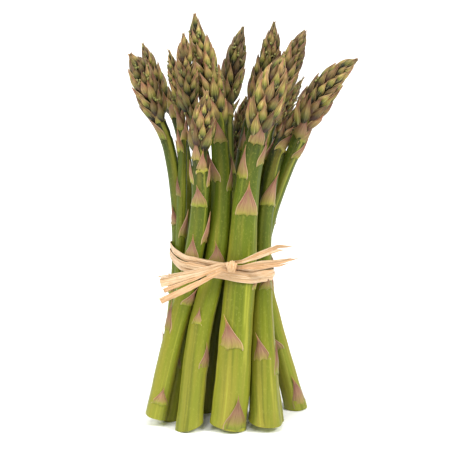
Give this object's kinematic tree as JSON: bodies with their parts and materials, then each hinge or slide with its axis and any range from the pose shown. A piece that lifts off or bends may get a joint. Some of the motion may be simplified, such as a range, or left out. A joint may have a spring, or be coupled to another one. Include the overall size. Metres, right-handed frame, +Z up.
{
  "type": "asparagus bundle",
  "caption": "Bundle of trimmed green asparagus spears with scaly purple-green heads, tied round the middle with raffia and standing on its cut ends.",
  "frame": {"origin": "on the surface it stands on, under the middle of the whole bundle", "axes": "+Z up along the spears, +X to the right seen from the front, -Y towards the front, where the raffia is knotted"},
  "size_m": [0.1164, 0.0626, 0.213],
  "materials": {
    "asparagus_spear": "fresh green stem, waxy, with purple-brown scale leaves",
    "raffia": "dry straw-coloured leaf fibre, matt with a slight sheen"
  },
  "bodies": {
    "root": {"spear_front_middle": "asparagus_spear", "spear_tall_left": "asparagus_spear", "spear_front_left": "asparagus_spear", "spear_left_slender": "asparagus_spear", "spear_left_pointed": "asparagus_spear", "spear_far_left": "asparagus_spear", "spear_far_left_back": "asparagus_spear", "spear_back_middle": "asparagus_spear", "spear_back_right": "asparagus_spear", "spear_back_short": "asparagus_spear", "spear_upper_right": "asparagus_spear", "spear_back_small": "asparagus_spear", "spear_far_right": "asparagus_spear", "spear_right": "asparagus_spear", "raffia_band_lower": "raffia", "raffia_band_upper": "raffia", "raffia_knot": "raffia", "raffia_tail_left_top": "raffia", "raffia_tail_left_middle": "raffia", "raffia_tail_left_bottom": "raffia", "raffia_tail_right_upper": "raffia", "raffia_tail_right_lower": "raffia"}
  },
  "joints": []
}
